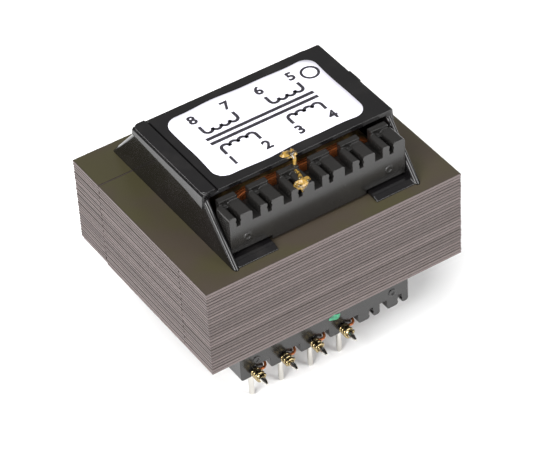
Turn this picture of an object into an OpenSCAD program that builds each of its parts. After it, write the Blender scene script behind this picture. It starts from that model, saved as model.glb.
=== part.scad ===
// Board-mounting mains transformer with an interleaved EI core.
// A two-chamber coil former carries the windings, a comb-shaped terminal rail under each side
// and a third one above the secondary side.
// L-shaped terminals in the lower rails are both the board pins and the wire posts.
// A saddle-shaped insulating cover sits over the coil and carries the rating label.
//
// Z = 0 is the board plane, on the tips of the lower comb teeth.
// X = Y = 0 is the centre of the four pins that face each other across the core.

/* [Core] */
// Width of a core window, also of a yoke, and half the width of the centre leg
window_w = 7; // [6.7:0.1:7.5]
// Height of the lamination stack
stack_h = 14.8; // [12:0.2:18]
// Thickness of one lamination with its coating
lam_t = 0.51; // [0.4:0.01:0.65]
// Thickness of the coating between two laminations
lam_coat = 0.02; // [0.01:0.01:0.04]
// Gap where the legs of an E lamination meet the I lamination
lam_seam = 0.1; // [0.02:0.02:0.2]
// Depth by which the undersized bottom I lamination stays back from the side faces
lam_setback = 0.15; // [0:0.05:0.4]

/* [Coil former] */
// Wall of the tube round the centre leg
tube_wall = 0.9; // [0.7:0.1:1.2]
// Thickness of the end flanges
flange_t = 0.95; // [0.8:0.05:1.1]
// Thickness of the wall between the two chambers
partition_t = 0.8; // [0.6:0.1:1.2]
// Clearance of the tube round the centre leg
leg_fit = 0.15; // [0.1:0.05:0.25]
// Clearance of the flanges in the window, on each side
window_fit = 0.2; // [0.1:0.05:0.3]
// Width of the wire passages through the flanges
passage_w = 1.9; // [1.6:0.1:2.4]

/* [Terminal rails] */
// Distance between terminal positions
pin_pitch = 5; // [4.8:0.02:5.08]
// Distance between the two rows of board pins
row_gap = 25; // [24.6:0.1:25.4]
// Sideways offset of each terminal from the middle of its tooth
pin_offset = 0.4; // [0:0.1:0.6]
// Length by which a rail overhangs the window at each end
rail_overhang = 0.33; // [0.1:0.01:0.5]
// Plastic between the centre of a pin row and the outer face of its rail
rail_lip = 1.1; // [1:0.1:1.4]
// Height of the core above the board
stand_off = 8.2; // [7.8:0.1:9]
// Height of the upper rail above the core
top_rail_h = 7.1; // [6.8:0.1:7.4]
// Clearance between the rails and the core
rail_gap = 0.35; // [0.2:0.05:0.5]
// Width of the wire slots between the teeth
slot_w = 1.25; // [1:0.05:1.5]
// Depth of the wire slots
slot_d = 1.75; // [1.5:0.05:2]
// Radius at the tips of the teeth
tooth_r = 0.45; // [0.2:0.05:0.6]
// Width of the notch that opens each terminal bore
notch_w = 0.6; // [0.4:0.05:0.7]
// Distance from the flange at which the notches end
notch_stop = 0.45; // [0.2:0.05:0.9]
// Diameter of the raised mould marks on the rails
mark_d = 1.3; // [1:0.1:1.6]
// Height of the raised mould marks
mark_h = 0.12; // [0.05:0.01:0.2]

/* [Terminals] */
// Diameter of the terminal wire
pin_d = 0.8; // [0.6:0.05:0.9]
// Length of the board pins below the board plane
pin_len = 4.6; // [3.5:0.1:6]
// Height of the wire posts above the board plane
post_z = 0.9; // [0.85:0.05:1.1]
// Length of the wire posts in front of the rail
post_len = 3.4; // [3:0.1:3.8]
// Clearance of the terminals in their bores
pin_fit = 0.01; // [0.01:0.005:0.03]

/* [Windings] */
// Build of each of the two windings in a chamber
winding_t = 2.6; // [2.2:0.1:2.6]
// Thickness of the insulating tape
tape_t = 0.12; // [0.08:0.02:0.16]
// Distance by which the outer wrap stays back from the flange, where the lead wires come out
wrap_margin = 1.2; // [0.6:0.1:2]
// Corner radius of the first turns
turn_r = 0.4; // [0.2:0.1:0.8]
// Clearance between a winding and the walls of its chamber
coil_fit = 0.05; // [0.03:0.01:0.1]
// Diameter of the secondary lead wire, at the front
lead_d_front = 0.42; // [0.3:0.02:0.5]
// Diameter of the primary lead wire, at the back
lead_d_back = 0.3; // [0.2:0.02:0.4]

/* [Solder joints] */
// Outer radius of the soldered wire turns
joint_r = 0.84; // [0.7:0.02:0.84]
// Number of wire turns round each post
joint_turns = 3; // [2:1:4]
// Length of the soldered turns along the post
joint_len = 2; // [1.6:0.1:2.4]

/* [Cover] */
// Wall of the side wings
wing_t = 0.95; // [0.7:0.05:1.1]
// Clearance between the wings and the ends of the rails
wing_fit = 0.12; // [0.05:0.01:0.3]
// Height of the top panel above the core
cover_h = 8.7; // [8.3:0.1:9.5]
// Thickness of the top panel
panel_t = 0.8; // [0.6:0.05:1]
// Length of the top panel between the rails
panel_l = 18.1; // [16.5:0.1:18.6]
// Length of the wings at the core
wing_foot_l = 31.9; // [30.6:0.1:33]
// Height of the upright part of the wing ends
wing_shoulder = 0.95; // [0.5:0.05:1.5]
// Radius of the panel corners
panel_r = 0.8; // [0.3:0.1:1.2]
// Width of the raised strip on the panel
strip_w = 1.9; // [1.4:0.1:2.4]
// Height of the raised strip
strip_h = 0.35; // [0.2:0.05:0.5]
// Width of the groove beside the raised strip
groove_w = 0.5; // [0.3:0.05:0.8]
// Height of the rim along the top of the wings, at its narrow end
rim_h = 1; // [0.6:0.1:1.2]
// Height of the rim at its wide end
rim_h_wide = 2.2; // [1.4:0.1:2.6]
// Thickness of the rim
rim_t = 0.16; // [0.1:0.02:0.24]
// Outward lean of the rim, in degrees
rim_lean = 5; // [2:1:8]
// Length of the moulding gate nub on the panel edge
gate_l = 2.6; // [1.5:0.1:4]
// Length of the foot tabs along the rails
tab_l = 6.3; // [4:0.1:7]
// Thickness of the foot tabs
tab_t = 0.5; // [0.3:0.05:0.65]
// Width of the foot tabs from heel to toe
tab_w = 2.9; // [2.4:0.1:3.2]
// Length of the thin sloping toe of the foot tabs
toe_l = 0.9; // [0.5:0.1:1.2]

/* [Label] */
// Length of the label
label_l = 24.9; // [20:0.1:26]
// Width of the label
label_w = 15.3; // [12:0.1:16]
// Corner radius of the label
label_r = 2.4; // [1:0.1:3]
// Thickness of the label
label_t = 0.1; // [0.06:0.02:0.2]
// Sideways offset of the label from the middle of the cover
label_x = 0.5; // [0.2:0.1:0.8]

/* [Hidden] */
// Core
core_l = 6 * window_w;
core_w = 5 * window_w;
leg_w = 2 * window_w;
window_l = 3 * window_w;
window_x = 2 * window_w;
core_z0 = stand_off;
core_z1 = core_z0 + stack_h;
lam_n = 2 * floor(stack_h / lam_t / 2) + 1;
lam_step = stack_h / lam_n;
core_mid = core_z0 + stack_h / 2;

// Terminal positions in a rail, and how many of them hold a terminal
positions = 6;
fitted = 4;

// Coil former
tube_x = leg_w / 2 + leg_fit + tube_wall;
tube_h = stack_h + 2 * (leg_fit + tube_wall);
flange_x = window_x - window_fit;
flange_out = window_l / 2 - window_fit + 0.05;
flange_in = flange_out - flange_t;
seat_fit = 0.3;
cover_z1 = core_z1 + cover_h;
flange_z1 = cover_z1 - panel_t - seat_fit;
flange_z0 = core_z0 - (flange_z1 - core_z1);

// Rails
rail_l = 2 * window_x + 2 * rail_overhang;
pin_y = row_gap / 2;
rail_y = pin_y + rail_lip;
rail_d = rail_y - flange_out;
passage_d = slot_d + 0.05;
top_rail_z = core_z1 + top_rail_h;
tab_clear = 0.15;
tab_room_z = tab_t + tab_clear + rail_gap;
tab_room_x = rail_l / 2 - tab_l - 2 * tab_clear;
mark_x = (positions - 1) / 2 * pin_pitch - 0.9;
lower_mark_z = stand_off / 3;
upper_mark_z = 0.6 * top_rail_h;

// Terminals: body_x puts the centre of the facing pins at the origin
body_x = -pin_offset;
leg_top = 0.05;
bend_r = post_z - leg_top;
tip_l = 0.35;
tip_r = 0.24;
post_tip_l = 0.8;
post_tip_r = 0.16;

// Windings
inner_t = winding_t;
outer_start = winding_t + tape_t;
wrap_start = outer_start + winding_t;
chamber_l = flange_in - partition_t / 2 - 2 * coil_fit;
chamber_y = partition_t / 2 + coil_fit;

// Lead wires: reach under the winding, clearance below it, dip in the slot, and clearance
// beside the soldered turns
lead_under = 0.8;
lead_gap = 0.1;
lead_dip = 0.45;
joint_gap = 0.12;

// Cover
wing_in = rail_l / 2 + wing_fit;
wing_x = wing_in + wing_t;
wing_r = wing_t / 2;
slope_y = (wing_foot_l - panel_l) / 2;
slope_z = cover_h - wing_shoulder;
slope_a = atan2(slope_z, slope_y);
slope_l = norm([slope_y, slope_z]);
tab_y1 = wing_foot_l / 2 - 0.35;
tab_y0 = tab_y1 - tab_w;
toe_t = 0.12;
rim_inset = 0.05;
rim_top = 0.15;
groove_d = 0.3;
gate_out = 0.22;
gate_h = 0.78;
gate_up = 0.08;

round_fn = 48;

// Centre of a terminal position, along the rail
function position_x(k) = (k - (positions - 1) / 2) * pin_pitch;

// Rail side (-1 front, 1 back) and position of terminal i: the front row is numbered from
// the left, the back row goes back from the right
function terminal_side(i) = i <= fitted ? -1 : 1;
function terminal_column(i) = i <= fitted ? i - 1 : positions - (i - fitted);
function terminal_x(i) = position_x(terminal_column(i)) + pin_offset;
// The wire slot beside terminal i: to its right, seen from in front of its own rail
function slot_x(i) = position_x(terminal_column(i)) - terminal_side(i) * pin_pitch / 2;

// Rectangle with rounded corners, centred
module rounded_rect(l, w, r) {
  square([l - 2 * r, w], center = true);
  square([l, w - 2 * r], center = true);
  for (x = [-1, 1], y = [-1, 1])
    translate([x * (l / 2 - r), y * (w / 2 - r)]) circle(r = r, $fn = round_fn);
}

// Extrudes an XZ outline along Y, from y0 to y1
module along_y(y0, y1) {
  translate([0, y1, 0]) rotate([90, 0, 0]) linear_extrude(y1 - y0) children();
}

// Places the children on the front (-1) or back (1) side, by mirroring across the XZ plane
module on_side(side) {
  if (side < 0) children(); else mirror([0, 1, 0]) children();
}

// ---- Core ----

// One E lamination with its yoke at the front, legs pointing back
module e_outline() {
  difference() {
    translate([-core_l / 2, -core_w / 2]) square([core_l, core_w - window_w - lam_seam]);
    for (s = [-1, 1])
      translate([s * 1.5 * window_w - window_w / 2, -window_l / 2]) square([window_w, window_l + 1]);
  }
}

// The I lamination that closes the legs at the back; back is how far its ends stay back
module i_outline(back) {
  translate([-core_l / 2 + back, core_w / 2 - window_w]) square([core_l - 2 * back, window_w - back]);
}

// Laminations alternate: even ones, with the top and bottom among them, have the yoke in front
module lamination_stack() {
  for (i = [0 : lam_n - 1])
    translate([body_x, 0, core_z0 + i * lam_step])
      mirror([0, i % 2, 0]) linear_extrude(lam_step - lam_coat) {
        $bottom = i == 0;
        children();
      }
}

module e_laminations() {
  color("#6b6650") lamination_stack() e_outline();
}

module i_laminations() {
  color("#7d7862") lamination_stack() i_outline($bottom ? lam_setback : 0);
}

// ---- Coil former ----

// One lobe of a comb tooth, with rounded tip corners, from x0 to x1
module lobe(x0, x1) {
  translate([x0 + tooth_r, 0]) square([x1 - x0 - 2 * tooth_r, slot_d + 0.1]);
  translate([x0, tooth_r]) square([x1 - x0, slot_d + 0.1 - tooth_r]);
  for (x = [x0 + tooth_r, x1 - tooth_r]) translate([x, tooth_r]) circle(r = tooth_r, $fn = round_fn);
}

// Comb outline of a rail in XZ: teeth tips at Z = 0, body up to Z = height
module rail_outline(height) {
  translate([-rail_l / 2, slot_d]) square([rail_l, height - slot_d]);
  for (k = [0 : positions - 1]) {
    x0 = k == 0 ? -rail_l / 2 : position_x(k) - pin_pitch / 2 + slot_w / 2;
    x1 = k == positions - 1 ? rail_l / 2 : position_x(k) + pin_pitch / 2 - slot_w / 2;
    lobe(x0, position_x(k) + pin_offset - notch_w / 2);
    lobe(position_x(k) + pin_offset + notch_w / 2, x1);
  }
}

// Quarter bend of round section, from the board pin's axis at Y = 0 to the post's axis
module quarter_bend(d) {
  translate([0, -bend_r, post_z - bend_r]) rotate([90, 0, 90])
    rotate_extrude(angle = 90, $fn = round_fn) translate([bend_r, 0]) circle(d = d, $fn = round_fn);
}

// Bores for the two legs of a terminal, joined by its bend inside the tooth
module terminal_bore() {
  d = pin_d + 2 * pin_fit;
  translate([0, -pin_y, 0]) {
    translate([0, -bend_r, post_z]) rotate([90, 0, 0]) cylinder(d = d, h = rail_lip + 1, $fn = round_fn);
    translate([0, 0, -1]) cylinder(d = d, h = 1 + leg_top, $fn = round_fn);
    quarter_bend(d);
  }
}

// Front rail with teeth down: comb, terminal bores and mould marks at height mark_z
module rail(height, mark_z) {
  difference() {
    along_y(-rail_y, -flange_out) rail_outline(height);
    for (k = [0 : positions - 1]) translate([position_x(k) + pin_offset, 0, 0]) terminal_bore();
    for (s = [-1, 1])
      translate([s * (tab_room_x + rail_l / 2) - rail_l / 2, -rail_y - 1, height - tab_room_z + rail_gap])
        cube([rail_l, rail_d + 1 - tab_clear, tab_room_z]);
  }
  for (k = [0 : positions - 1])
    translate([position_x(k) + pin_offset - notch_w / 2 - tooth_r, -flange_out - notch_stop, tooth_r])
      cube([notch_w + 2 * tooth_r, notch_stop, slot_d - tooth_r]);
  for (s = [-1, 1])
    translate([s * mark_x, -rail_y, mark_z])
      rotate([90, 0, 0]) difference() {
        translate([0, 0, -0.1]) cylinder(d = mark_d, h = mark_h + 0.1, $fn = round_fn);
        cylinder(d = mark_d / 2, h = mark_h + 0.1, $fn = round_fn);
      }
}

// Wire passages in the flange behind the slots of a rail, whose teeth end at height z_tip
module passages(z_tip) {
  for (k = [0 : positions - 2])
    translate([position_x(k) + pin_pitch / 2 - passage_w / 2, -flange_out - 0.01, z_tip - passage_d])
      cube([passage_w, flange_t + 0.02, 2 * passage_d]);
}

// One end of the former: its flange and lower rail, with or without the upper rail
module former_end(upper) {
  difference() {
    translate([-flange_x, -flange_out, flange_z0]) cube([2 * flange_x, flange_t, flange_z1 - flange_z0]);
    passages(0);
    if (upper) passages(top_rail_z);
  }
  rail(core_z0 - rail_gap, lower_mark_z);
  if (upper)
    translate([0, 0, top_rail_z]) rotate([0, 180, 0]) rail(top_rail_h - rail_gap, upper_mark_z);
}

module coil_former() {
  color("#2b2a29") translate([body_x, 0, 0]) difference() {
    union() {
      translate([0, 0, core_mid]) along_y(-flange_in - 0.01, flange_in + 0.01)
        rounded_rect(2 * tube_x, tube_h, turn_r);
      translate([-flange_x, -partition_t / 2, flange_z0])
        cube([2 * flange_x, partition_t, flange_z1 - flange_z0]);
      for (side = [-1, 1]) on_side(side) former_end(side < 0);
    }
    translate([-leg_w / 2 - leg_fit, -core_w / 2, core_z0 - leg_fit])
      cube([leg_w + 2 * leg_fit, core_w, stack_h + 2 * leg_fit]);
  }
}

// ---- Windings ----

// Ring round the tube, from t0 to t1 outside it, along one chamber (side -1 front, 1 back),
// whose outer end stays back from the flange by margin
module coil_ring(side, t0, t1, margin = 0) {
  on_side(side) translate([body_x, 0, core_mid])
    along_y(margin - chamber_y - chamber_l, -chamber_y) difference() {
      rounded_rect(2 * (tube_x + t1), tube_h + 2 * t1, turn_r + t1);
      rounded_rect(2 * (tube_x + t0), tube_h + 2 * t0, turn_r + t0);
    }
}

module winding_inner(side) {
  color("#b4652f") coil_ring(side, coil_fit, inner_t);
}

module winding_outer(side) {
  color("#c0703a") coil_ring(side, outer_start, wrap_start);
}

module interlayer_tape(side) {
  color("#8a7a35") coil_ring(side, inner_t, outer_start);
}

module coil_wrap(side) {
  color("#3a3830") coil_ring(side, wrap_start, wrap_start + tape_t, wrap_margin);
}

// ---- Terminals, leads and solder ----

// Terminal i: board pin, bend inside the tooth, and wire post, with tapered ends
module terminal(i) {
  color("#c9c6bd") on_side(terminal_side(i)) translate([terminal_x(i) + body_x, -pin_y, 0]) {
    translate([0, 0, -pin_len]) cylinder(r1 = tip_r, r2 = pin_d / 2, h = tip_l, $fn = round_fn);
    translate([0, 0, -pin_len + tip_l])
      cylinder(d = pin_d, h = pin_len - tip_l + leg_top, $fn = round_fn);
    quarter_bend(pin_d);
    translate([0, -bend_r, post_z]) rotate([90, 0, 0])
      cylinder(d = pin_d, h = rail_lip + post_len - bend_r - post_tip_l, $fn = round_fn);
    translate([0, -rail_lip - post_len + post_tip_l, post_z]) rotate([90, 0, 0])
      cylinder(r1 = pin_d / 2, r2 = post_tip_r, h = post_tip_l, $fn = round_fn);
  }
}

// Soldered wire turns round a post: a ribbed sleeve that thins out towards the tip
module solder_joint(i) {
  turn_w = joint_len / (joint_turns + 1);
  bore_r = pin_d / 2 + pin_fit;
  rib_r = turn_w / 2;
  root_r = joint_r - rib_r;
  color("#8d8668") on_side(terminal_side(i))
    translate([terminal_x(i) + body_x, -rail_y - mark_h, post_z]) rotate([90, 0, 0])
      rotate_extrude($fn = round_fn) difference() {
        union() {
          translate([bore_r, 0]) square([root_r - bore_r, joint_turns * turn_w]);
          for (k = [0 : joint_turns - 1])
            translate([root_r, (k + 0.5) * turn_w]) circle(r = rib_r, $fn = round_fn);
          polygon([
            [bore_r, joint_turns * turn_w],
            [root_r, joint_turns * turn_w],
            [bore_r + 0.06, joint_len],
            [bore_r, joint_len]
          ]);
        }
        translate([-1, -1]) square([1 + bore_r, joint_len + 2]);
      }
}

// Catmull-Rom points through a list, n per span
function spline(p, n) = [
  for (k = [0 : len(p) - 2], j = [0 : (k == len(p) - 2 ? n : n - 1)])
    let (
      t = j / n,
      a = p[max(k - 1, 0)], b = p[k], c = p[k + 1], d = p[min(k + 2, len(p) - 1)]
    )
    0.5 * (2 * b + (c - a) * t + (2 * a - 5 * b + 4 * c - d) * t * t + (3 * b - a - 3 * c + d) * t * t * t)
];

function unit(v) = v / norm(v);
function tangent(p, k) = unit(p[min(k + 1, len(p) - 1)] - p[max(k - 1, 0)]);

// Round tube along a list of points that never runs straight up
module tube_along(p, d, sides = 8) {
  rings = [
    for (k = [0 : len(p) - 1])
      let (t = tangent(p, k), u = unit(cross(t, [0, 0, 1])), v = cross(u, t))
      for (s = [0 : sides - 1])
        p[k] + d / 2 * (u * cos(360 * s / sides) + v * sin(360 * s / sides))
  ];
  last = (len(p) - 1) * sides;
  polyhedron(
    points = rings,
    faces = concat(
      [[for (s = [0 : sides - 1]) s]],
      [
        for (k = [0 : len(p) - 2], s = [0 : sides - 1])
          [k * sides + s, (k + 1) * sides + s, (k + 1) * sides + (s + 1) % sides, k * sides + (s + 1) % sides]
      ],
      [[for (s = [sides - 1 : -1 : 0]) last + s]]
    )
  );
}

// Lead wire from under the winding, through the flange and the slot, to the post
module lead_wire(i) {
  d = terminal_side(i) < 0 ? lead_d_front : lead_d_back;
  sx = slot_x(i);
  px = terminal_x(i);
  way = sign(sx - px);
  coil_z = slot_d - lead_gap - d / 2;
  lane_z = (post_z + coil_z) / 2;
  route = [
    [sx, -flange_in + lead_under, coil_z],
    [sx, -flange_out + flange_t / 2, coil_z],
    [sx, -flange_out - rail_d / 3, lane_z],
    [sx - way * lead_gap, -rail_y + 0.3, lane_z - lead_gap],
    [sx - way * 0.5, -rail_y - lead_dip, lane_z - lead_gap],
    [px + way * (joint_r + joint_gap), -rail_y - mark_h - joint_len / 3, post_z + lead_gap]
  ];
  color("#c8743c") on_side(terminal_side(i)) translate([body_x, 0, 0]) tube_along(spline(route, 3), d);
}

// ---- Cover ----

// Extrudes a YZ outline along X, from x0 to x1
module along_x(x0, x1) {
  translate([x0, 0, 0]) rotate([90, 0, 90]) linear_extrude(x1 - x0) children();
}

// Side view of a wing in YZ, without the rounding along its sloping edges
module wing_outline() {
  polygon([
    [-wing_foot_l / 2 + wing_r / sin(slope_a), core_z1],
    [wing_foot_l / 2 - wing_r / sin(slope_a), core_z1],
    [panel_l / 2, cover_z1 - wing_shoulder - wing_r / cos(slope_a)],
    [panel_l / 2, cover_z1 - 0.01],
    [-panel_l / 2, cover_z1 - 0.01],
    [-panel_l / 2, cover_z1 - wing_shoulder - wing_r / cos(slope_a)]
  ]);
}

// Full-round edge along the back slope of the left wing, cut off level with the core
module slope_edge() {
  difference() {
    translate([-wing_in - wing_r, panel_l / 2, cover_z1 - wing_shoulder]) rotate([90 - slope_a, 0, 0])
      translate([0, -wing_r, -slope_l - wing_t]) linear_extrude(slope_l + wing_t) {
        circle(r = wing_r, $fn = round_fn);
        translate([-wing_r, -wing_r]) square([wing_t, wing_r]);
      }
    translate([-wing_x - 1, 0, core_z1 - 2 * wing_t]) cube([wing_t + 2, wing_foot_l, 2 * wing_t]);
  }
}

// Leaning rim along the top of the left wing: it widens from the back to the front
module rim() {
  translate([-wing_x, 0, cover_z1]) rotate([0, rim_lean, 0]) translate([0, 0, -cover_z1])
    along_x(-rim_t, wing_t / 2) polygon([
      [panel_l / 2 - rim_inset, cover_z1 - rim_top],
      [panel_l / 2 - rim_inset, cover_z1 - rim_h],
      [-panel_l / 4, cover_z1 - (rim_h + rim_h_wide) / 2],
      [-panel_l / 2 + rim_inset, cover_z1 - rim_h_wide],
      [-panel_l / 2 + rim_inset, cover_z1 - rim_top]
    ]);
}

// Foot tab that lies on the core under the end of a rail, with a thin sloping toe
module foot_tab() {
  along_x(-wing_in - 0.01, -wing_in + tab_l) polygon([
    [-tab_y0, core_z1],
    [-tab_y0, core_z1 + tab_t],
    [-tab_y1 + toe_l, core_z1 + tab_t],
    [-tab_y1, core_z1 + toe_t],
    [-tab_y1, core_z1]
  ]);
}

module cover() {
  color("#1c1b1b") translate([body_x, 0, 0]) {
    difference() {
      union() {
        translate([0, 0, cover_z1 - panel_t]) linear_extrude(panel_t)
          rounded_rect(2 * wing_x, panel_l, panel_r);
        for (s = [-1, 1]) mirror([s > 0 ? 1 : 0, 0, 0]) {
          along_x(-wing_x, -wing_in) wing_outline();
          rim();
          for (side = [-1, 1]) on_side(side) {
            foot_tab();
            mirror([0, 1, 0]) slope_edge();
          }
        }
        translate([0, 0, cover_z1 - 0.1]) linear_extrude(strip_h + 0.1) intersection() {
          rounded_rect(2 * wing_x, panel_l, panel_r);
          translate([-wing_x, -panel_l]) square([strip_w, 2 * panel_l]);
        }
        translate([wing_x - 0.1, -gate_l / 2, cover_z1 + gate_up - gate_h])
          cube([gate_out + 0.1, gate_l, gate_h]);
      }
      translate([-wing_x + strip_w, -panel_l, cover_z1 - groove_d]) cube([groove_w, 2 * panel_l, 1]);
    }
  }
}

module label() {
  color("#e6e4ee") translate([body_x + label_x, 0, cover_z1]) linear_extrude(label_t)
    rounded_rect(label_l, label_w, label_r);
}

e_laminations();
i_laminations();
coil_former();
winding_inner(1);  // primary_winding_inner
winding_outer(1);  // primary_winding_outer
interlayer_tape(1);  // primary_interlayer_tape
coil_wrap(1);  // primary_wrap
winding_inner(-1);  // secondary_winding_inner
winding_outer(-1);  // secondary_winding_outer
interlayer_tape(-1);  // secondary_interlayer_tape
coil_wrap(-1);  // secondary_wrap
cover();
label();
for (i = [1 : 2 * fitted]) {
  terminal(i);
  solder_joint(i);
  lead_wire(i);
}
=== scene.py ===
"""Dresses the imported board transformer: finishes for its mouldings, and modelled pieces for its plates,
label, wires, solder and varnish."""

from __future__ import annotations

import logging
import math
from dataclasses import dataclass, field
from enum import Enum
from typing import Any, Sequence, Union

import bpy
import numpy as np
from mathutils import Matrix, Vector


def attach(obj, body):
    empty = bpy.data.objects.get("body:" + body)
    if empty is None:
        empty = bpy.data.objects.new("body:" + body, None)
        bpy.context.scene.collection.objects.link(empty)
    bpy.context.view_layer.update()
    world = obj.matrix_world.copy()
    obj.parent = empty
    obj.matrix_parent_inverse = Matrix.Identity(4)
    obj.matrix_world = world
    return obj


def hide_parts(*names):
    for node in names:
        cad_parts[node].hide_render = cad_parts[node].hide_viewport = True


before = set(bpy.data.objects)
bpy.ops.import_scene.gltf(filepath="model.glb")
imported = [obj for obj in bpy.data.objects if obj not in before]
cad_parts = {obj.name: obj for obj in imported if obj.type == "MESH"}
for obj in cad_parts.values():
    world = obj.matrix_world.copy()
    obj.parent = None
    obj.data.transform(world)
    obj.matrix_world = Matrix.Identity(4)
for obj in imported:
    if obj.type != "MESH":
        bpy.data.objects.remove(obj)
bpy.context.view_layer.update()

MM = 0.001
BODY = "root"
LOG = logging.getLogger("transformer")

Number = Union[int, float]
Colour = tuple[float, float, float]


def srgb(red: Number, green: Number, blue: Number) -> Colour:
    """Turns display values from 0 to 255 into a linear colour.

    Args:
        red, green, blue: display values.

    Returns:
        The linear colour, each channel by the display curve's inverse.
    """
    shown = np.array([red, green, blue]) / 255.0
    linear = np.where(shown <= 0.04045, shown / 12.92, ((shown + 0.055) / 1.055) ** 2.4)
    return tuple(float(v) for v in linear)


# ---- Shader graphs ----


class Value:
    """A number socket in a shader graph, which takes part in ordinary expressions."""

    def __init__(self, graph: "Graph", socket: bpy.types.NodeSocket) -> None:
        """Wraps one output socket of a graph."""
        self.graph = graph
        self.socket = socket

    def _math(self, operation: str, *operands: Any, clamp: bool = False) -> "Value":
        """Adds one Math node over the operands, in order."""
        settings = {"operation": operation, "use_clamp": clamp}
        return self.graph.value("ShaderNodeMath", settings, dict(enumerate(operands)))

    def __add__(self, other: Any) -> "Value":
        """Sum."""
        return self._math("ADD", self, other)

    def __sub__(self, other: Any) -> "Value":
        """Difference."""
        return self._math("SUBTRACT", self, other)

    def __rsub__(self, other: Any) -> "Value":
        """Reflected difference."""
        return self._math("SUBTRACT", other, self)

    def __mul__(self, other: Any) -> "Value":
        """Product."""
        return self._math("MULTIPLY", self, other)

    __radd__ = __add__
    __rmul__ = __mul__

    def clamped(self) -> "Value":
        """The value held between zero and one."""
        return self._math("ADD", self, 0.0, clamp=True)

    def between(self, low: Number, high: Number) -> "Value":
        """Rises smoothly from zero at low to one at high.

        Args:
            low, high: the ends of the rise; low may be the greater one.

        Returns:
            The smoothed step.
        """
        inputs = {"Value": self, "From Min": low, "From Max": high}
        settings = {"interpolation_type": "SMOOTHSTEP"}
        return self.graph.value("ShaderNodeMapRange", settings, inputs, "Result")


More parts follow.
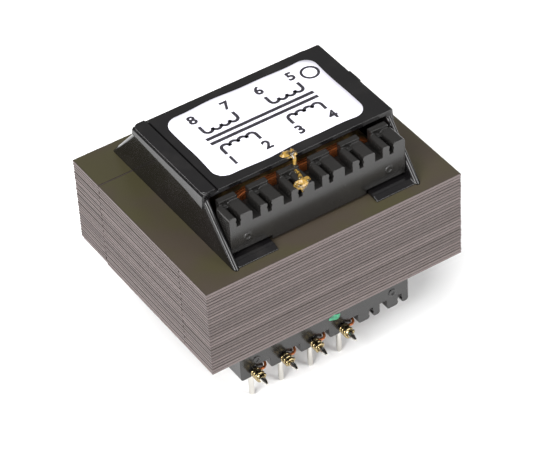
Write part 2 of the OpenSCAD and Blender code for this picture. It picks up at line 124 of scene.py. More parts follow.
class Graph:
    """The node tree of one material, with a Principled shader wired to its output."""

    def __init__(self, name: str) -> None:
        """Makes a material with an empty graph."""
        self.material = bpy.data.materials.new(name)
        self.material.use_nodes = True
        self.tree = self.material.node_tree
        self.tree.nodes.clear()
        self.shader = self.node("ShaderNodeBsdfPrincipled")
        output = self.node("ShaderNodeOutputMaterial")
        self.tree.links.new(self.shader.outputs["BSDF"], output.inputs["Surface"])
        object_place = self.node("ShaderNodeTexCoord").outputs["Object"]
        self.place = self.node(
            "ShaderNodeMapping", {}, {"Vector": object_place, "Scale": (1 / MM,) * 3}
        ).outputs["Vector"]

    def node(self, kind: str, settings: dict[str, Any] | None = None, inputs: dict | None = None) -> Any:
        """Adds a node.

        Args:
            kind: the node's type.
            settings: its properties, set first.
            inputs: values or links of its sockets, by name or index.

        Returns:
            The node.
        """
        made = self.tree.nodes.new(kind)
        for key, setting in (settings or {}).items():
            if key == "stops":
                self._stops(made.color_ramp, setting)
            else:
                setattr(made, key, setting)
        for key, given in (inputs or {}).items():
            socket = made.inputs[key]
            if isinstance(given, Value):
                given = given.socket
            if isinstance(given, bpy.types.NodeSocket):
                self.tree.links.new(given, socket)
            elif isinstance(given, tuple) and len(given) == 3 and socket.type == "RGBA":
                socket.default_value = (*given, 1.0)
            else:
                socket.default_value = given
        return made

    @staticmethod
    def _stops(ramp: bpy.types.ColorRamp, stops: Sequence[tuple[float, Colour]]) -> None:
        """Sets a ramp's stops, given as positions and colours."""
        while len(ramp.elements) < len(stops):
            ramp.elements.new(0.5)
        for element, (position, colour) in zip(ramp.elements, stops):
            element.position = position
            element.color = (*colour, 1.0)

    def value(self, kind: str, settings: dict, inputs: dict, output: str | int = 0) -> Value:
        """Adds a node and wraps one of its outputs as a number."""
        return Value(self, self.node(kind, settings, inputs).outputs[output])

    def stretched(self, scale: tuple[float, float, float]) -> bpy.types.NodeSocket:
        """Object coordinates in millimetres, scaled along each axis."""
        return self.node("ShaderNodeMapping", {}, {"Vector": self.place, "Scale": scale}).outputs[0]

    def noise(self, scale: float, detail: float = 3.0, place: Any = None, rough: float = 0.5) -> Value:
        """Cloudy noise from zero to one, with scale in features per millimetre."""
        inputs = {"Vector": place or self.place, "Scale": scale, "Detail": detail, "Roughness": rough}
        return self.value("ShaderNodeTexNoise", {}, inputs)

    def axis(self, which: str) -> Value:
        """One object coordinate in millimetres: X, Y or Z."""
        return self.value("ShaderNodeSeparateXYZ", {}, {"Vector": self.place}, which)

    def facing(self, which: str) -> Value:
        """One component of the surface normal: X, Y or Z."""
        normal = self.node("ShaderNodeNewGeometry").outputs["Normal"]
        return self.value("ShaderNodeSeparateXYZ", {}, {"Vector": normal}, which)

    def attribute(self, name: str) -> Value:
        """A number stored on the piece's points."""
        return self.value("ShaderNodeAttribute", {"attribute_name": name}, {}, "Fac")

    def mix(self, share: Value | float, low: Any, high: Any) -> bpy.types.NodeSocket:
        """Blends two colours, from low at a share of zero to high at one."""
        made = self.node("ShaderNodeMix", {"data_type": "RGBA"}, {0: share})
        for index, given in ((6, low), (7, high)):
            if isinstance(given, bpy.types.NodeSocket):
                self.tree.links.new(given, made.inputs[index])
            else:
                made.inputs[index].default_value = (*given, 1.0)
        return made.outputs[2]

    def relief(self, height: Value, depth_mm: float, soften: Any = None) -> bpy.types.NodeSocket:
        """A normal bumped by a height field.

        Args:
            height: the field, from zero to one.
            depth_mm: how deep one unit of it is.
            soften: a normal to start from, such as a rounded edge's.

        Returns:
            The normal socket.
        """
        inputs = {"Height": height, "Distance": depth_mm * MM, "Strength": 1.0}
        if soften is not None:
            inputs["Normal"] = soften
        return self.node("ShaderNodeBump", {}, inputs).outputs["Normal"]

    def rounded(self, radius_mm: float) -> bpy.types.NodeSocket:
        """A normal that rounds sharp edges by a small radius."""
        return self.node("ShaderNodeBevel", {"samples": 8}, {"Radius": radius_mm * MM}).outputs["Normal"]

    def finish(self, **sockets: Any) -> bpy.types.Material:
        """Feeds the Principled shader and hands back the material.

        Args:
            sockets: values or links, with underscores for the spaces of socket names.

        Returns:
            The finished material.
        """
        for key, given in sockets.items():
            socket = self.shader.inputs[key.replace("_", " ")]
            if isinstance(given, Value):
                given = given.socket
            if isinstance(given, bpy.types.NodeSocket):
                self.tree.links.new(given, socket)
            elif isinstance(given, tuple):
                socket.default_value = (*given, 1.0)
            else:
                socket.default_value = given
        return self.material


# ---- Finishes ----


@dataclass(frozen=True)
class BlackMoulding:
    """Black moulded plastic: satin gloss, fine moulding skin, smudges and dust specks."""

    name: str
    base: Colour = srgb(26, 25, 25)
    dusty: Colour = srgb(33, 31, 30)
    gloss: float = 0.24
    smudge: float = 0.1
    edge_mm: float = 0.14
    skin_mm: float = 0.0025

    def material(self) -> bpy.types.Material:
        """Builds the finish."""
        g = Graph(self.name)
        cloud = g.noise(0.22, 4.0)
        grain = g.noise(7.0, 2.0)
        specks = g.noise(2.6, 5.0, rough=0.7).between(0.62, 0.74)
        colour = g.mix(cloud.between(0.45, 0.75) * 0.5 + specks * 0.25, self.base, self.dusty)
        normal = g.relief(grain + cloud * 2.0, self.skin_mm, g.rounded(self.edge_mm))
        rough = cloud * self.smudge + (self.gloss - self.smudge / 2) + specks * 0.12
        return g.finish(Base_Color=colour, Roughness=rough, Normal=normal, IOR=1.52)


@dataclass(frozen=True)
class LaminationSteel:
    """Varnished lamination steel: olive faces, and sheared edges with burr streaks, plate tones and painted
    shade in the seams between plates.
    """

    name: str
    face_olive: Colour = srgb(66, 62, 42)
    face_brown: Colour = srgb(66, 58, 49)
    edge_dark: Colour = srgb(62, 54, 52)
    edge_light: Colour = srgb(122, 110, 108)
    seam_shade: Colour = srgb(17, 14, 13)

    def material(self) -> bpy.types.Material:
        """Builds the finish."""
        g = Graph(self.name)
        top = g.facing("Z").between(0.6, 0.9)
        cloud = g.noise(0.09, 3.0)
        faces = g.mix(cloud.between(0.35, 0.65), self.face_olive, self.face_brown)
        streak = g.noise(1.0, 4.0, g.stretched((0.5, 0.5, 9.0)))
        shear = g.noise(1.0, 3.0, g.stretched((2.5, 2.5, 1.2)))
        tone = g.attribute("tone")
        lit = tone * 0.6 + streak * 0.4 + shear * 0.3 - 0.25
        edges = g.mix(lit.clamped(), self.edge_dark, self.edge_light)
        # Painted shade in the seams between plates: where the stored tone marks a plate's top or bottom edge,
        # the edge colour is darkened.
        edges = g.mix(tone.between(0.1, -0.45), edges, self.seam_shade)
        colour = g.mix(top, edges, faces)
        rough = top * (cloud * 0.2 + 0.28) + (1 - top) * (streak * 0.25 + 0.38)
        height = streak * (1 - top) + g.noise(1.6, 3.0) * 0.4
        metal = top * 0.25 + (1 - top) * 0.45
        return g.finish(Base_Color=colour, Roughness=rough, Metallic=metal, Normal=g.relief(height, 0.02))


@dataclass(frozen=True)
class LabelFilm:
    """White printed film with a faint lavender cast and small scuffs."""

    name: str
    base: Colour = srgb(224, 222, 236)
    scuffed: Colour = srgb(209, 206, 222)

    def material(self) -> bpy.types.Material:
        """Builds the finish."""
        g = Graph(self.name)
        fibre = g.noise(5.0, 3.0)
        scuff = g.noise(0.35, 5.0, rough=0.65).between(0.55, 0.8)
        colour = g.mix(scuff, self.base, self.scuffed)
        rough = fibre * 0.1 + 0.42
        return g.finish(Base_Color=colour, Roughness=rough, Normal=g.relief(fibre, 0.002))


@dataclass(frozen=True)
class PrintInk:
    """Dark print on the label, slightly worn."""

    name: str
    base: Colour = srgb(34, 32, 38)
    worn: Colour = srgb(92, 90, 100)

    def material(self) -> bpy.types.Material:
        """Builds the finish."""
        g = Graph(self.name)
        wear = g.noise(6.0, 4.0).between(0.5, 0.85)
        return g.finish(Base_Color=g.mix(wear, self.base, self.worn), Roughness=wear * 0.1 + 0.45)


@dataclass(frozen=True)
class TinnedWire:
    """Tinned wire: bright, with drawn lines and dull patches."""

    name: str
    bright: Colour = srgb(222, 218, 212)
    dull: Colour = srgb(150, 142, 132)

    def material(self) -> bpy.types.Material:
        """Builds the finish."""
        g = Graph(self.name)
        patch = g.noise(1.3, 4.0)
        drawn = g.noise(1.0, 2.0, g.stretched((9.0, 9.0, 0.6)))
        colour = g.mix(patch.between(0.4, 0.7), self.bright, self.dull)
        rough = patch * 0.25 + 0.16
        normal = g.relief(drawn * 0.5 + patch, 0.01)
        return g.finish(Base_Color=colour, Metallic=0.95, Roughness=rough, Normal=normal)


@dataclass(frozen=True)
class FluxedSolder:
    """Solder over wound wire, browned by flux and coil varnish."""

    name: str
    metal: Colour = srgb(158, 152, 138)
    stained: Colour = srgb(58, 49, 36)
    burnt: Colour = srgb(20, 17, 14)

    def material(self) -> bpy.types.Material:
        """Builds the finish."""
        g = Graph(self.name)
        patch = g.noise(1.5, 4.0)
        deep = g.noise(0.8, 3.0)
        stained = g.mix(patch.between(0.38, 0.56), self.metal, self.stained)
        colour = g.mix(deep.between(0.5, 0.66), stained, self.burnt)
        metal = (1 - patch.between(0.4, 0.6)) * 0.85
        normal = g.relief(patch + g.noise(5.0, 3.0) * 0.5, 0.05)
        return g.finish(Base_Color=colour, Metallic=metal, Roughness=patch * 0.25 + 0.14, Normal=normal)


@dataclass(frozen=True)
class EnamelledCopper:
    """Enamelled copper: warm lacquer over metal, with fine turns where it is a winding."""

    name: str
    base: Colour = srgb(190, 108, 60)
    dark: Colour = srgb(92, 46, 24)
    turns_per_mm: float = 0.0

    def material(self) -> bpy.types.Material:
        """Builds the finish; turns are ridges across the winding's axis, Y, with painted shade in the grooves
        between them.
        """
        g = Graph(self.name)
        patch = g.noise(1.2, 4.0)
        height = patch
        patch_tone_and_groove_shade = patch.between(0.4, 0.75)
        if self.turns_per_mm:
            phase = g.axis("Y") * (2 * math.pi * self.turns_per_mm)
            ridge = g.value("ShaderNodeMath", {"operation": "SINE"}, {0: phase}) * 0.5 + 0.5
            height = ridge + patch * 0.2
            # Painted shade: darker in the grooves between turns, over the random patch tone.
            patch_tone_and_groove_shade = (1 - ridge) * 0.6 + patch_tone_and_groove_shade * 0.4
        colour = g.mix(patch_tone_and_groove_shade, self.base, self.dark)
        normal = g.relief(height, 0.04)
        return g.finish(Base_Color=colour, Metallic=0.7, Roughness=0.26, Normal=normal)


@dataclass(frozen=True)
class CoilTape:
    """Polyester coil tape, with the turns showing through as faint ridges."""

    name: str
    base: Colour = srgb(74, 60, 34)
    dark: Colour = srgb(36, 28, 18)

    def material(self) -> bpy.types.Material:
        """Builds the finish."""
        g = Graph(self.name)
        cloud = g.noise(0.7, 4.0)
        ridge = g.noise(1.0, 2.0, g.stretched((0.2, 6.0, 0.2)))
        colour = g.mix(cloud.between(0.35, 0.7), self.base, self.dark)
        return g.finish(Base_Color=colour, Roughness=cloud * 0.2 + 0.25, Normal=g.relief(ridge, 0.05))


@dataclass(frozen=True)
class CoilVarnish:
    """Dried coil varnish: clear golden brown where thin, near black where thick, with painted pale glints."""

    name: str
    gold: Colour = srgb(150, 118, 50)
    dark: Colour = srgb(44, 34, 14)
    painted_glint: Colour = srgb(206, 196, 160)

    def material(self) -> bpy.types.Material:
        """Builds the finish."""
        g = Graph(self.name)
        thick = g.noise(1.1, 4.0)
        colour = g.mix(thick.between(0.4, 0.6), self.gold, self.dark)
        # Painted highlights: small pale spots stand in for glints on the glossy varnish.
        colour = g.mix(g.noise(2.2, 3.0).between(0.62, 0.74), colour, self.painted_glint)
        normal = g.relief(thick + g.noise(3.0, 3.0) * 0.4, 0.12)
        return g.finish(Base_Color=colour, Roughness=thick * 0.15 + 0.07, Normal=normal, Coat_Weight=0.6)


@dataclass(frozen=True)
class TestPaint:
    """A dab of green inspection paint."""

    name: str
    base: Colour = srgb(66, 160, 118)
    thin: Colour = srgb(36, 96, 74)

    def material(self) -> bpy.types.Material:
        """Builds the finish."""
        g = Graph(self.name)
        cloud = g.noise(1.4, 4.0)
        colour = g.mix(cloud.between(0.4, 0.7), self.base, self.thin)
        return g.finish(Base_Color=colour, Roughness=cloud * 0.2 + 0.3, Normal=g.relief(cloud, 0.03))


@dataclass(frozen=True)
class StudioFloor:
    """Seamless white paper."""

    name: str
    base: Colour = (0.99, 0.99, 0.99)

    def material(self) -> bpy.types.Material:
        """Builds the finish."""
        g = Graph(self.name)
        fibre = g.noise(0.6, 3.0)
        return g.finish(Base_Color=self.base, Roughness=0.75, Normal=g.relief(fibre, 0.004))


class Finish(Enum):
    """The finishes of the transformer."""

    FORMER = BlackMoulding("former_moulding", base=srgb(27, 26, 25), gloss=0.22, edge_mm=0.16)
    COVER = BlackMoulding("cover_moulding", base=srgb(15, 14, 15), gloss=0.17, edge_mm=0.2)
    STEEL = LaminationSteel("lamination_steel")
    FILM = LabelFilm("label_film")
    INK = PrintInk("label_ink")
    TINNED = TinnedWire("tinned_wire")
    SOLDER = FluxedSolder("fluxed_solder")
    COPPER = EnamelledCopper("copper_wire")
    WINDING = EnamelledCopper("copper_winding", turns_per_mm=2.2)
    TAPE = CoilTape("coil_tape")
    INNER_TAPE = CoilTape("interlayer_tape", base=srgb(150, 126, 60), dark=srgb(96, 76, 34))
    VARNISH = CoilVarnish("coil_varnish")
    PAINT = TestPaint("inspection_paint")

    def material(self) -> bpy.types.Material:
        """The material, built on its first use."""
        return bpy.data.materials.get(self.value.name) or self.value.material()


# ---- Surfaces ----


@dataclass
class Surface:
    """A mesh being put together: points in metres, faces as index rows, and numbers per point."""

    points: list[np.ndarray] = field(default_factory=list)
    faces: list[list[int]] = field(default_factory=list)
    tones: list[np.ndarray] = field(default_factory=list)
    count: int = 0

    def add(self, points: np.ndarray, faces: list[list[int]], tone: np.ndarray | float = 0.5) -> None:
        """Adds points in millimetres and faces that count from this call's first point."""
        points = points.reshape(-1, 3)
        self.faces += [[self.count + k for k in face] for face in faces]
        self.points.append(points * MM)
        self.tones.append(np.broadcast_to(np.asarray(tone, float), (len(points),)).copy())
        self.count += len(points)

    def add_tube(self, rings: np.ndarray, tone: np.ndarray | float = 0.5) -> None:
        """Adds a closed skin over rings of points, with a flat cap at each end.

        Args:
            rings: array of rings by sides by 3, in millimetres, anticlockwise seen from the far end.
            tone: number stored on the points.
        """
        n, sides = rings.shape[:2]
        start = (np.arange(n - 1)[:, None] * sides + np.arange(sides)).ravel()
        after = (np.arange(n - 1)[:, None] * sides + (np.arange(sides) + 1) % sides).ravel()
        quads = np.stack([start, after, after + sides, start + sides], 1).tolist()
        caps = [list(range(sides))[::-1], [(n - 1) * sides + k for k in range(sides)]]
        self.add(rings, quads + caps, tone)

    def build(self, name: str, finish: Finish, slot: str, replaces: Sequence[str] = (),
              smooth: bool = True) -> bpy.types.Object:
        """Makes the object, finishes it and lets it ride on the body.

        Args:
            name: the piece's name.
            finish: its finish.
            slot: not used.
            replaces: CAD nodes that it stands for.
            smooth: whether its faces are shaded smooth.

        Returns:
            The object.
        """
        mesh = bpy.data.meshes.new(name)
        mesh.from_pydata(np.concatenate(self.points), [], self.faces)
        mesh.attributes.new("tone", "FLOAT", "POINT").data.foreach_set("value", np.concatenate(self.tones))
        mesh.polygons.foreach_set("use_smooth", [smooth] * len(mesh.polygons))
        mesh.validate()
        mesh.update()
        made = bpy.data.objects.new(name, mesh)
        bpy.context.scene.collection.objects.link(made)
        mesh.materials.append(finish.material())
        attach(made, BODY)
        if replaces:
            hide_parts(*replaces)
        LOG.info("%s: %d faces", name, len(mesh.polygons))
        return made


def tube_rings(path: np.ndarray, radius: np.ndarray | float, sides: int,
               side_hint: Sequence[float]) -> np.ndarray:
    """Rings of a round tube along a path.

    Each ring is centre + radius * (u cos a + v sin a), where u is the hint made square to the path and v
    is the path's direction crossed with u.

    Args:
        path: points in millimetres.
        radius: one radius, or one for each point.
        sides: points in a ring.
        side_hint: a direction that the path never runs along.

    Returns:
        Array of points by sides by 3.
    """
    along = np.gradient(path, axis=0)
    along /= np.linalg.norm(along, axis=1, keepdims=True)
    hint = np.asarray(side_hint, float)
    u = hint - along * (along @ hint)[:, None]
    u /= np.linalg.norm(u, axis=1, keepdims=True)
    v = np.cross(along, u)
    turn = np.linspace(0, 2 * np.pi, sides, endpoint=False)
    size = np.broadcast_to(np.asarray(radius, float), (len(path),))[:, None, None]
    return path[:, None] + size * (u[:, None] * np.cos(turn)[:, None] + v[:, None] * np.sin(turn)[:, None])


def smooth_path(points: Sequence[Sequence[float]], count: int) -> np.ndarray:
    """Evenly spaced points on a smooth curve through a few given ones.

    A cubic Hermite curve passes through the points, with slopes from their neighbours' difference.

    Args:
        points: the given points in millimetres.
        count: how many points to return.

    Returns:
        Array of count by 3.
    """
    p = np.asarray(points, float)
    slope = np.gradient(p, axis=0)
    s = np.linspace(0, len(p) - 1, count)
    k = np.minimum(s.astype(int), len(p) - 2)
    t = (s - k)[:, None]
    a, b, da, db = p[k], p[k + 1], slope[k], slope[k + 1]
    return ((2 * t**3 - 3 * t**2 + 1) * a + (t**3 - 2 * t**2 + t) * da
            + (3 * t**2 - 2 * t**3) * b + (t**3 - t**2) * db)


def waves(points: np.ndarray, seed: int, pitch: float, size: float) -> np.ndarray:
    """A smooth random displacement: six plane sine waves of random direction and phase for each axis.

    Args:
        points: array ending in 3, in millimetres.
        seed: seed of the directions and phases.
        pitch: typical wavelength in millimetres.
        size: typical displacement in millimetres.

    Returns:
        The displacement, shaped as the points.
    """
    rng = np.random.default_rng(seed)
    k = rng.normal(size=(3, 6, 3)) * 2 * np.pi / pitch / math.sqrt(3)
    phase = rng.uniform(0, 2 * np.pi, (3, 6))
    return size * np.sin(np.einsum("...c,awc->...aw", points, k) + phase).sum(-1) / math.sqrt(3)


# ---- Core ----


@dataclass
class Core:
    """The interleaved stack of E and I plates, each a little out of line with the next."""

    length: float = 42.0
    width: float = 35.0
    unit: float = 7.0
    bottom: float = 8.2
    height: float = 14.8
    plates: int = 29
    centre_x: float = -0.4
    seam: float = 0.1
    coat: float = 0.02
    burr: float = 0.09
    # Stored tone of each plate's top and bottom edge, which the steel finish paints as shade in the seams
    # between plates.
    seam_shade_tone: float = -0.6
    stray: float = 0.05
    setback: float = 0.15
    seed: int = 7

    def e_outline(self) -> np.ndarray:
        """Corners of an E plate with its yoke in front, anticlockwise."""
        x, y, u = self.length / 2, self.width / 2, self.unit
        end = y - u - self.seam
        right = [(x, -y), (x, end), (x - u, end), (x - u, u - y), (u, u - y), (u, end)]
        left = [(-px, py) for px, py in reversed(right)]
        return np.array(right + left)

    def i_outline(self) -> np.ndarray:
        """Corners of an I plate at the back, anticlockwise."""
        x, y, u = self.length / 2, self.width / 2, self.unit
        return np.array([(-x, y - u), (x, y - u), (x, y), (-x, y)])

    def plate(self, surface: Surface, outline: np.ndarray, level: int, rng: np.random.Generator,
              back: float = 0.0) -> None:
        """Adds one plate: its outline carried up through four levels, drawn in at the top and bottom one.

        Every corner moves inwards by the sum of its two edges' inward normals times an inset.

        Args:
            surface: where the plate goes.
            outline: its corners.
            level: its place in the stack, from the bottom.
            rng: source of its small misfits.
            back: how far its side faces stay back from the stack's.
        """
        step = self.height / self.plates
        top = step - self.coat
        z = self.bottom + level * step + np.array([0, self.burr, top - self.burr, top])
        edge = np.roll(outline, -1, 0) - outline
        inward = np.stack([-edge[:, 1], edge[:, 0]], 1) / np.linalg.norm(edge, axis=1, keepdims=True)
        inward = inward + np.roll(inward, 1, 0)
        draw = rng.uniform(0.0, self.stray) + back
        inset = draw + np.array([self.burr * 0.7, 0, 0, self.burr * 0.7])
        corners = outline + inset[:, None, None] * inward
        if level % 2:
            corners = (corners * [1, -1])[:, ::-1]
        rings = np.empty((4, len(outline), 3))
        rings[..., :2] = corners + [self.centre_x, 0.0]
        rings[..., 2] = z[:, None]
        tone = rng.uniform(0.25, 0.85)
        # The top and bottom rings carry the seam tone, painted as shade between plates; the middle rings
        # carry the plate's random tone.
        surface.add_tube(rings, np.repeat([self.seam_shade_tone, tone, tone, self.seam_shade_tone], len(outline)))

    def build(self) -> None:
        """Builds both groups of plates."""
        rng = np.random.default_rng(self.seed)
        e_plates, i_plates = Surface(), Surface()
        for level in range(self.plates):
            self.plate(e_plates, self.e_outline(), level, rng)
            self.plate(i_plates, self.i_outline(), level, rng, self.setback if level == 0 else 0.0)
        e_plates.build("e_plates", Finish.STEEL, "core_steel", ["e_laminations"], smooth=False)
        i_plates.build("i_plates", Finish.STEEL, "core_steel_i", ["i_laminations"], smooth=False)


# ---- Label ----


@dataclass
class Label:
    """The hand-cut label with its print: pin numbers and the winding diagram."""

    centre: tuple[float, float] = (0.1, 0.0)
    length: float = 24.5
    width: float = 14.9
    corner: float = 2.2
    base: float = 31.7
    thick: float = 0.07
    wave: float = 0.12
    rings: int = 12
    around: int = 240
    ink: float = 0.012
    numeral_size: float = 2.5
    winding_line: float = 0.5
    bar_line: float = 0.62
    ring_line: float = 0.4
    ring_radius: float = 1.25
    ring_centre: tuple[float, float] = (10.4, 4.4)

    def outline(self) -> np.ndarray:
        """The cut edge: a rounded rectangle, evenly spaced, with slow waves along its sides.

        The corner arcs are joined and resampled by arc length; each point then moves along X and Y by a
        sum of three sines of the distance round the edge.

        Returns:
            Array of points by 2, anticlockwise.
        """
        turn = np.linspace(0, np.pi / 2, 12)
        quarter = np.arange(4)[:, None] * np.pi / 2 + turn
        sign_x, sign_y = np.array([1, -1, -1, 1]), np.array([1, 1, -1, -1])
        x = sign_x[:, None] * (self.length / 2 - self.corner) + self.corner * np.cos(quarter)
        y = sign_y[:, None] * (self.width / 2 - self.corner) + self.corner * np.sin(quarter)
        path = np.stack([x.ravel(), y.ravel()], 1)
        path = np.vstack([path, path[:1]])
        run = np.concatenate([[0], np.cumsum(np.linalg.norm(np.diff(path, axis=0), axis=1))])
        s = np.linspace(0, run[-1], self.around, endpoint=False)
        even = np.stack([np.interp(s, run, path[:, 0]), np.interp(s, run, path[:, 1])], 1)
        a = 2 * np.pi * s / run[-1]
        swing = np.stack([
            np.sin(3 * a + 0.4) + 0.5 * np.sin(7 * a),
            np.sin(4 * a + 2.1) + 0.6 * np.sin(9 * a + 1)], 1)
        return even + self.wave * swing

    def film(self) -> None:
        """The film: rings of the outline drawn in to the middle on top, over a flat underside."""
        edge = self.outline()
        share = np.linspace(1.0, 0.02, self.rings)
        lift = np.where(share > 0.999, self.thick * 0.6, self.thick)
        under = np.concatenate([edge, np.zeros((self.around, 1))], 1)[None]
        over = np.concatenate([edge[None] * share[:, None, None], np.zeros((self.rings, self.around, 1))], 2)
        over[..., 2] += lift[:, None]
        rings = np.concatenate([under, over]) + [*self.centre, self.base]
        surface = Surface()
        surface.add_tube(rings)
        surface.build("label_film", Finish.FILM, "label_film", ["label"])

    def numeral(self, surface: Surface, text: str, x: float, y: float, size: float) -> None:
        """Adds one plain numeral, taken from the built-in font, centred on a point of the label."""
        curve = bpy.data.curves.new("numeral", "FONT")
        curve.body, curve.size, curve.align_x, curve.align_y = text, size, "CENTER", "CENTER"
        curve.extrude, curve.resolution_u, curve.offset = self.ink / 2, 3, 0.09
        holder = bpy.data.objects.new("numeral", curve)
        bpy.context.scene.collection.objects.link(holder)
        mesh = holder.evaluated_get(bpy.context.evaluated_depsgraph_get()).to_mesh()
        points = np.empty(len(mesh.vertices) * 3)
        mesh.vertices.foreach_get("co", points)
        faces = [list(face.vertices) for face in mesh.polygons]
        place = [self.centre[0] + x, self.centre[1] + y, self.base + self.thick + self.ink]
        surface.add(points.reshape(-1, 3) + place, faces)
        bpy.data.objects.remove(holder)
        bpy.data.curves.remove(curve)

    def stroke(self, surface: Surface, path: np.ndarray, width: float) -> None:
        """Adds a flat inked line: a box section carried along a path on the label.

        Args:
            surface: where it goes.
            path: points by 2, from the label's centre.
            width: the line's width.
        """
        along = np.gradient(path, axis=0)
        across = np.stack([-along[:, 1], along[:, 0]], 1) / np.linalg.norm(along, axis=1, keepdims=True)
        side = across * width / 2
        low, high = self.base + self.thick, self.base + self.thick + self.ink
        rings = np.empty((len(path), 4, 3))
        rings[:, [0, 3], :2] = (path + side)[:, None]
        rings[:, [1, 2], :2] = (path - side)[:, None]
        rings[:, :2, 2], rings[:, 2:, 2] = low, high
        rings[..., :2] += self.centre
        surface.add_tube(rings)

    def winding(self, x0: float, x1: float, y: float, loops: int, side: int) -> np.ndarray:
        """Path of a winding symbol: a row of half circles between two short leads."""
        radius = (x1 - x0) / loops / 2
        turn = np.linspace(0, np.pi, 9)
        centres = x0 + radius * (2 * np.arange(loops) + 1)
        x = (centres[:, None] - radius * np.cos(turn)).ravel()
        lobe = np.tile(np.sin(turn), loops) * radius
        arcs = np.stack([x, y - side * lobe], 1)
        lead = 1.25 * side
        return np.vstack([[x0, y + lead], [x0, y + lead * 0.3], arcs, [x1, y + lead * 0.3], [x1, y + lead]])

    def print_marks(self) -> None:
        """The print: pin numbers along both edges, four windings, the core's two bars and a ring."""
        surface = Surface()
        columns = (-8.6, -3.1, 2.3, 7.7)
        for numerals, y in (("8765", 5.2), ("1234", -5.3)):
            for text, x in zip(numerals, columns):
                self.numeral(surface, text, x, y, self.numeral_size)
        for start in (0, 2):
            x0, x1 = columns[start], columns[start + 1]
            self.stroke(surface, self.winding(x0, x1, 2.3, 4, 1), self.winding_line)
            self.stroke(surface, self.winding(x0, x1, -2.4, 4, -1), self.winding_line)
        for y in (0.5, -0.6):
            self.stroke(surface, np.array([[-9.3, y], [0.0, y], [8.4, y]]), self.bar_line)
        ring = np.linspace(0, 2 * np.pi, 33)
        circle = np.stack([np.cos(ring), np.sin(ring)], 1) * self.ring_radius + self.ring_centre
        self.stroke(surface, circle, self.ring_line)
        surface.build("label_print", Finish.INK, "label_film", smooth=False)

    def build(self) -> None:
        """Builds the film and its print."""
        self.film()
        self.print_marks()


# ---- Terminals, joints and leads ----


class Side(Enum):
    """The two sides of the transformer: the sign of Y."""

    FRONT = -1
    BACK = 1


@dataclass
class TerminalRow:
    """The fitted terminals of one rail, with their wound joints and lead wires."""

    side: Side
    first_number: int
    columns: Sequence[float]
    wire: float
    rail_y: float = 13.6
    post_z: float = 0.9
    post_r: float = 0.4
    slot_depth: float = 1.75
    flange_y: float = 9.4
    slot_offset: float = 2.1
    under_coil: float = 0.8
    coil_gap: float = 0.1

    def place(self, points: np.ndarray) -> np.ndarray:
        """Turns points made for the front row by half a turn where this is the back row."""
        return points if self.side is Side.FRONT else points * [-1, -1, 1]

    def joint(self, number: int, x: float) -> None:
        """One soldered joint: lead turns wound round the post inside a lump of solder and varnish.

        The wire is a helix round the post whose radius swells and shrinks; the lump is a sleeve whose
        radius is a hump along the post plus smooth random waves.

        Args:
            number: the terminal's number.
            x: its place along the row, as if in front.
        """
        rng = np.random.default_rng(100 + number)
        surface = Surface()
        s = np.linspace(0, 1, 90)
        turns = 2.6 + rng.uniform(-0.3, 0.5)
        angle = 2 * np.pi * turns * s + rng.uniform(0, 1)
        reach = self.post_r + self.wire / 2 + 0.03 + 0.06 * np.sin(3 * angle)
        helix = np.stack([
            x + reach * np.cos(angle),
            -self.rail_y - 0.28 - 1.5 * s - 0.05 * np.sin(2 * angle),
            self.post_z + reach * np.sin(angle)], 1)
        surface.add_tube(self.place(tube_rings(helix, self.wire / 2, 10, (0, 1, 0))), 0.8)
        t = np.linspace(0, 1, 26)
        turn = np.linspace(0, 2 * np.pi, 28, endpoint=False)
        hump = 0.09 + 0.27 * np.sin(np.pi * np.minimum(1, t * 1.25) ** 0.8) ** 0.7
        size = self.post_r + np.where(t > 0.86, 0.09 * (1 - t) / 0.14, hump)
        rings = np.empty((26, 28, 3))
        rings[..., 0] = x + size[:, None] * np.cos(turn)
        rings[..., 1] = (-self.rail_y - 0.14 - 2.0 * t)[:, None]
        rings[..., 2] = self.post_z + size[:, None] * np.sin(turn)
        rings += waves(rings, 40 + number, 1.5, 0.045)
        surface.add_tube(self.place(rings), 0.3)
        surface.build(f"joint_{number}", Finish.SOLDER, "fluxed_solder", [f"solder_joint_{number}"])

    def lead(self, number: int, x: float) -> None:
        """One lead wire: out of the coil, down the slot beside its tooth, and across to its joint."""
        slot = x + self.slot_offset
        low = self.slot_depth - 0.45
        under = self.slot_depth - self.coil_gap - self.wire / 2
        route = [
            (slot, -self.flange_y + self.under_coil, under), (slot, -self.flange_y - 0.5, under),
            (slot + 0.15, -11.8, low - 0.2),
            (slot - 0.1, -13.3, low - 0.3), (slot - 0.6, -13.95, low - 0.25), (slot - 1.2, -14.15, low - 0.1),
            (x + 0.55, -14.3, self.post_z + 0.45)]
        path = smooth_path(route, 60)
        path += waves(path, 70 + number, 4.0, 0.03)
        surface = Surface()
        surface.add_tube(self.place(tube_rings(path, self.wire / 2, 12, (0, 0, 1))))
        surface.build(f"lead_{number}", Finish.COPPER, "enamelled_copper", [f"lead_wire_{number}"])

    def build(self) -> None:
        """Builds every joint and lead of the row and finishes its terminals."""
        for index, x in enumerate(self.columns):
            number = self.first_number + index
            self.joint(number, x)
            self.lead(number, x)
            dress(f"terminal_{number}", Finish.TINNED)


# ---- Drips and dabs ----


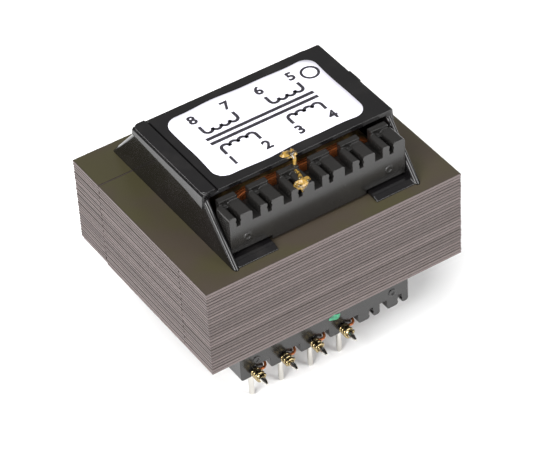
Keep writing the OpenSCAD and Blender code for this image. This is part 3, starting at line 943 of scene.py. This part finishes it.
@dataclass
class Drips:
    """Coil varnish that ran over the cover's edge and a dab of inspection paint."""

    cover_top: float = 31.7
    core_x: float = -0.4
    dab_centre: tuple[float, float, float] = (1.7, -13.62, 3.5)
    dab_size: tuple[float, float, float] = (1.05, 0.07, 0.42)

    def blob(self, surface: Surface, centre: Sequence[float], size: Sequence[float], seed: int,
             rough: float = 0.1) -> None:
        """Adds a lump: a sphere of latitude rings, stretched along each axis, moved by random waves."""
        polar = np.linspace(0.02, np.pi - 0.02, 22)
        turn = np.linspace(0, 2 * np.pi, 30, endpoint=False)
        ball = np.stack([
            np.sin(polar)[:, None] * np.cos(turn), np.sin(polar)[:, None] * np.sin(turn),
            -np.cos(polar)[:, None] * np.ones(30)], 2)
        rings = ball * size + [centre[0] + self.core_x, centre[1], centre[2]]
        rings = rings + waves(rings, seed, 1.1, rough)
        surface.add_tube(rings)

    def strand(self, surface: Surface, points: Sequence[Sequence[float]], radii: Sequence[float],
               seed: int) -> None:
        """Adds a run of varnish: a tube along a smooth path whose radius follows the given ones."""
        path = smooth_path(points, 50) + [self.core_x, 0, 0]
        path += waves(path, seed, 1.8, 0.05)
        size = np.interp(np.linspace(0, 1, 50), np.linspace(0, 1, len(radii)), radii)
        surface.add_tube(tube_rings(path, size, 14, (1, 0, 0)))

    def build(self) -> None:
        """Builds the varnish and the paint."""
        varnish = Surface()
        self.blob(varnish, (-1.2, -8.35, self.cover_top - 0.15), (1.3, 0.95, 0.36), 3)
        self.blob(varnish, (-2.4, -13.1, 30.2), (1.25, 0.85, 0.6), 5, 0.14)
        run = [
            (-1.1, -8.7, 31.6), (-1.0, -9.3, 31.3), (-1.3, -10.0, 30.2), (-1.6, -11.4, 30.2),
            (-2.1, -12.6, 30.4), (-2.6, -13.6, 29.9), (-2.7, -13.8, 29.3)]
        self.strand(varnish, run, (0.34, 0.3, 0.24, 0.26, 0.4, 0.42, 0.12), 8)
        varnish.build("varnish_run", Finish.VARNISH, "former_plastic")
        paint = Surface()
        self.blob(paint, self.dab_centre, self.dab_size, 11, 0.05)
        paint.build("paint_dab", Finish.PAINT, "former_plastic")


def dress(node: str, finish: Finish) -> None:
    """Gives a CAD node its finish and logs it."""
    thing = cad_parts[node]
    thing.data.materials.clear()
    thing.data.materials.append(finish.material())
    LOG.info("%s dressed in %s", node, finish.name.lower())


# ---- Studio ----


@dataclass(frozen=True)
class Softbox:
    """A square area light aimed at the transformer."""

    name: str
    toward: tuple[float, float, float]
    distance: float
    size: float
    power: float

    def build(self, target: Vector) -> None:
        """Places the light along its direction and aims it at the target."""
        data = bpy.data.lights.new(self.name, "AREA")
        data.shape, data.size, data.energy = "SQUARE", self.size, self.power
        lamp = bpy.data.objects.new(self.name, data)
        direction = Vector(self.toward).normalized()
        lamp.location = target + direction * self.distance
        lamp.rotation_mode = "QUATERNION"
        lamp.rotation_quaternion = (-direction).to_track_quat("-Z", "Y")
        bpy.context.scene.collection.objects.link(lamp)


@dataclass
class Studio:
    """Camera, floor and soft lights."""

    azimuth: float = -31.1524
    elevation: float = 41.3051
    roll: float = -3.5972
    focal: float = 2829.70
    frame_width: int = 540
    sensor: float = 36.0
    aim: tuple[float, float] = (-0.0322, 2.9206)
    distance: float = 404.789
    origin: tuple[float, float, float] = (-0.4, 0.0, 8.2)
    floor_z: float = -4.6
    floor_size: float = 3000.0
    world: float = 0.32
    lights: Sequence[Softbox] = (
        Softbox("key_left", (-0.85, -0.35, 0.62), 0.9, 0.55, 12.0),
        Softbox("fill_right", (0.42, -0.78, 0.52), 0.9, 0.5, 5.0),
        Softbox("top", (-0.25, -0.1, 1.0), 1.0, 0.5, 7.0),
    )

    def axes(self) -> tuple[np.ndarray, np.ndarray, np.ndarray]:
        """The camera's right, up and backward directions, from its angles and roll."""
        a, e, r = (math.radians(v) for v in (self.azimuth, self.elevation, self.roll))
        back = np.array([math.sin(a) * math.cos(e), -math.cos(a) * math.cos(e), math.sin(e)])
        right = np.array([math.cos(a), math.sin(a), 0.0])
        up = np.cross(back, right)
        return right * math.cos(r) + up * math.sin(r), up * math.cos(r) - right * math.sin(r), back

    def camera(self) -> None:
        """Places the camera at its offsets along its own three axes."""
        right, up, back = self.axes()
        place = right * self.aim[0] + up * self.aim[1] + back * self.distance + np.array(self.origin)
        data = bpy.data.cameras.new("camera")
        data.sensor_width, data.lens = self.sensor, self.focal * self.sensor / self.frame_width
        data.clip_start, data.clip_end = 0.01, 10.0
        made = bpy.data.objects.new("camera", data)
        turn = Matrix(np.stack([right, up, back], 1).tolist())
        made.matrix_world = Matrix.Translation(Vector(place * MM)) @ turn.to_4x4()
        bpy.context.scene.collection.objects.link(made)
        bpy.context.scene.camera = made

    def floor(self) -> None:
        """A square sheet of paper under the pins, as a grid of points."""
        side = np.linspace(-self.floor_size / 2, self.floor_size / 2, 5)
        x, y = np.meshgrid(side, side, indexing="ij")
        points = np.stack([x, y, np.full_like(x, self.floor_z)], -1).reshape(-1, 3) * MM
        start = (np.arange(4)[:, None] * 5 + np.arange(4)).ravel()
        mesh = bpy.data.meshes.new("floor")
        mesh.from_pydata(points, [], np.stack([start, start + 5, start + 6, start + 1], 1).tolist())
        made = bpy.data.objects.new("floor", mesh)
        bpy.context.scene.collection.objects.link(made)
        mesh.materials.append(StudioFloor("floor_paper").material())

    def sky(self) -> None:
        """A plain dim surround."""
        world = bpy.data.worlds.new("surround")
        world.use_nodes = True
        world.node_tree.nodes["Background"].inputs["Color"].default_value = (1.0, 1.0, 1.0, 1.0)
        world.node_tree.nodes["Background"].inputs["Strength"].default_value = self.world
        bpy.context.scene.world = world

    def build(self) -> None:
        """Builds the studio."""
        self.camera()
        self.floor()
        self.sky()
        target = Vector((0.0, 0.0, 15.0)) * MM
        for light in self.lights:
            light.build(target)
        bpy.context.scene.view_settings.view_transform = "Standard"
        LOG.info("studio ready with %d lights", len(self.lights))


def main() -> None:
    """Builds the studio and every piece."""
    logging.basicConfig(level=logging.INFO, format="%(name)s: %(message)s")
    Studio().build()
    Core().build()
    dress("coil_former", Finish.FORMER)
    dress("cover", Finish.COVER)
    for side in ("primary", "secondary"):
        dress(f"{side}_winding_inner", Finish.WINDING)
        dress(f"{side}_winding_outer", Finish.WINDING)
        dress(f"{side}_interlayer_tape", Finish.INNER_TAPE)
        dress(f"{side}_wrap", Finish.TAPE)
    Label().build()
    TerminalRow(Side.FRONT, 1, (-12.5, -7.5, -2.5, 2.5), 0.42).build()
    TerminalRow(Side.BACK, 5, (-12.5, -7.5, -2.5, 2.5), 0.3).build()
    Drips().build()


if __name__ == "__main__":
    main()
